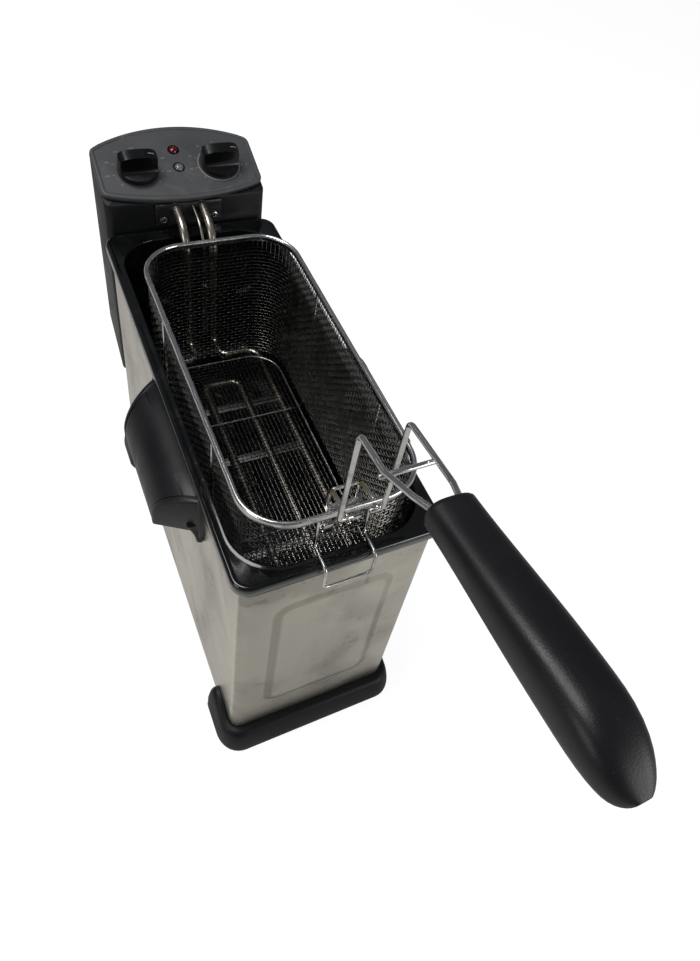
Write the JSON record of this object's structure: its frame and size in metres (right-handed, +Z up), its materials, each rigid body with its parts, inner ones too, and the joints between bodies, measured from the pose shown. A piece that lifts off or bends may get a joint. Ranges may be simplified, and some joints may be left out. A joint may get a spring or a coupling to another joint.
{
  "type": "deep fryer",
  "caption": "Slim immersion deep fryer with lift-out oil pot, lift-off control head and element, wire basket and folding wire handle.",
  "frame": {"origin": "centre of the four rubber pads, on the surface the fryer stands on", "axes": "+Z up, front of the fryer and its basket handle towards -Y, control head at +Y, +X to the right seen from the front"},
  "size_m": [0.204, 0.6401, 0.453],
  "materials": {
    "brushed_steel": "brushed",
    "black_plastic": "semi-gloss",
    "rubber": "matte",
    "grip_plastic": "satin",
    "screw_steel": "satin",
    "plain_steel": "satin",
    "black_enamel": "gloss",
    "mark_grey": "satin",
    "fascia_grey": "fine texture",
    "mark_white": "printed",
    "red_lens": "clear gloss",
    "clear_lens": "clear gloss",
    "holder_plastic": "plain",
    "dark_plate": "satin",
    "element_steel": "oiled",
    "pin_brass": "plain",
    "knob_plastic": "satin gloss",
    "chrome_wire": "plated",
    "mesh_wire": "woven wire",
    "tinted_wire": "heat tinted"
  },
  "bodies": {
    "housing": {"outer_housing": "brushed_steel", "base_tray": "black_plastic", "front_foot": "black_plastic", "rear_foot": "black_plastic", "rubber_feet": "rubber", "left_grip": "grip_plastic", "right_grip": "grip_plastic", "grip_screws": "screw_steel", "head_rails": "plain_steel"},
    "oil_pot": {"oil_container": "black_enamel", "oil_marks": "mark_grey"},
    "control_head": {"head_shell": "black_plastic", "rear_cover": "black_plastic", "cover_screws": "screw_steel", "control_fascia": "fascia_grey", "dial_marks": "mark_white", "timer_ring": "mark_white", "power_lens": "red_lens", "ready_lens": "clear_lens", "lamp_holders": "holder_plastic", "element_plate": "dark_plate", "plate_screws": "screw_steel", "heating_element": "element_steel", "element_support": "plain_steel", "capillary_tube": "element_steel", "sensing_bulb": "element_steel", "thermostat_body": "holder_plastic", "timer_body": "holder_plastic", "power_inlet": "black_plastic", "inlet_pins": "pin_brass"},
    "thermostat_knob": {"left_knob": "knob_plastic", "left_pointer": "mark_white"},
    "timer_knob": {"right_knob": "knob_plastic", "right_pointer": "mark_white"},
    "basket": {"basket_rim": "chrome_wire", "basket_mesh": "mesh_wire", "basket_frame": "chrome_wire", "handle_bracket": "tinted_wire", "drain_hook": "chrome_wire"},
    "handle": {"handle_wires": "tinted_wire", "handle_crossbar": "tinted_wire", "handle_grip": "grip_plastic"}
  },
  "joints": [
    {"name": "pot_lift", "type": "slide", "parent": "housing", "child": "oil_pot", "axis": [0, 0, 1], "range_m": [0, 0.16]},
    {"name": "head_lift", "type": "slide", "parent": "oil_pot", "child": "control_head", "axis": [0, 0, 1], "range_m": [0, 0.18]},
    {"name": "basket_lift", "type": "slide", "parent": "control_head", "child": "basket", "axis": [0, 0, 1], "range_m": [0, 0.18]},
    {"name": "thermostat_turn", "type": "hinge", "parent": "control_head", "child": "thermostat_knob", "pos_m": [-0.0355, 0.21167, 0.31353], "axis": [0, -0.3047, 0.9524], "range_deg": [-260, 0]},
    {"name": "timer_turn", "type": "hinge", "parent": "control_head", "child": "timer_knob", "pos_m": [0.0355, 0.21167, 0.31353], "axis": [0, -0.3047, 0.9524], "range_deg": [-300, 0]},
    {"name": "handle_fold", "type": "hinge", "parent": "basket", "child": "handle", "pos_m": [0, -0.181, 0.3287], "axis": [-1, 0, 0], "range_deg": [0, 110]}
  ]
}
